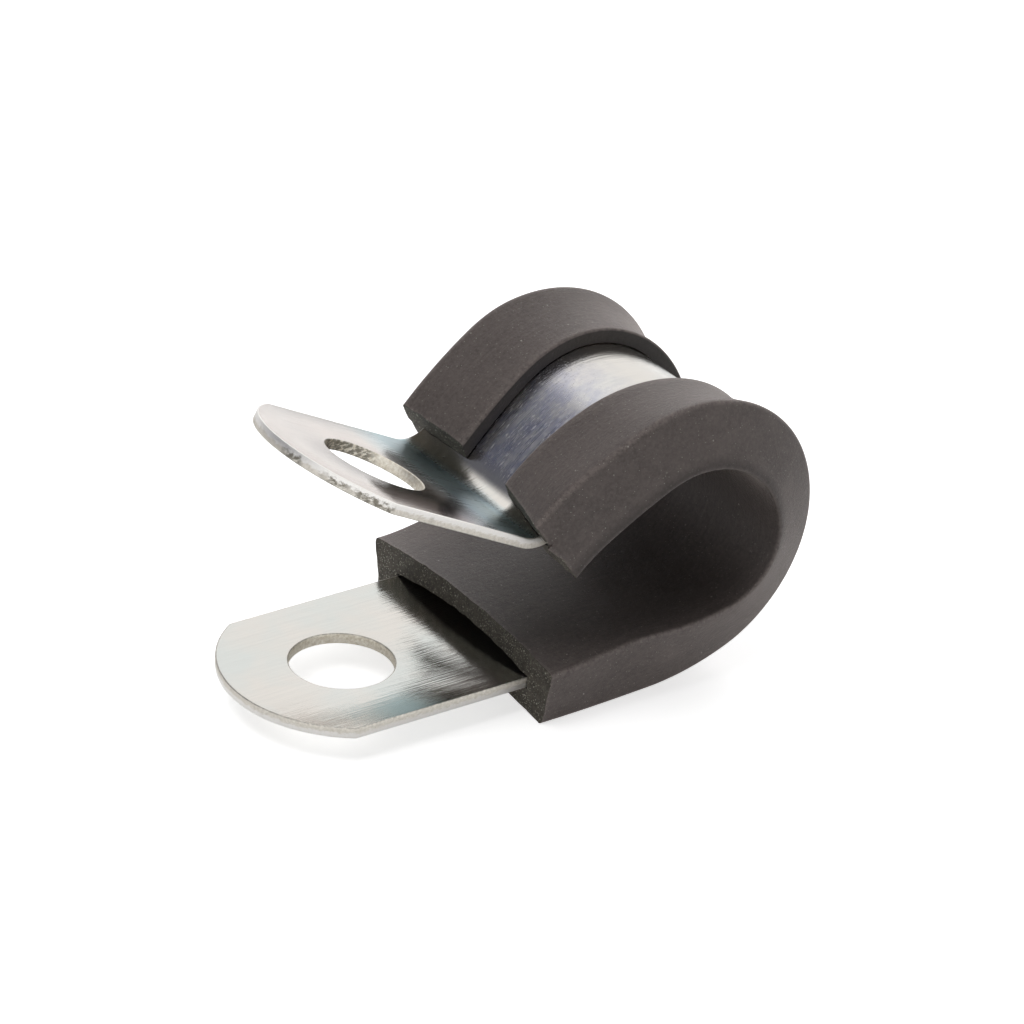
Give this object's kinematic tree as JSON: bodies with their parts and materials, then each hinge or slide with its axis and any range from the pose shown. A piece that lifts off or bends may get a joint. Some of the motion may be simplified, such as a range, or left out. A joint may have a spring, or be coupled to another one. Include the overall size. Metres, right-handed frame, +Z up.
{
  "type": "p clip",
  "caption": "Rubber-lined P clip: bent zinc-plated steel band with a round-ended screw tab at each end and a black rubber channel folded over its edges, open as supplied.",
  "frame": {"origin": "on the axis of the lower tab's screw hole, at the underside of the band", "axes": "+X along the lower leg from the tab towards the loop, +Y across the band, +Z up through the lower hole"},
  "size_m": [0.0306, 0.0174, 0.0162],
  "materials": {
    "zinc_steel": "bright zinc plating with fine brushed streaks",
    "black_rubber": "matte"
  },
  "bodies": {
    "root": {"steel_strap": "zinc_steel", "rubber_lining": "black_rubber"}
  },
  "joints": []
}
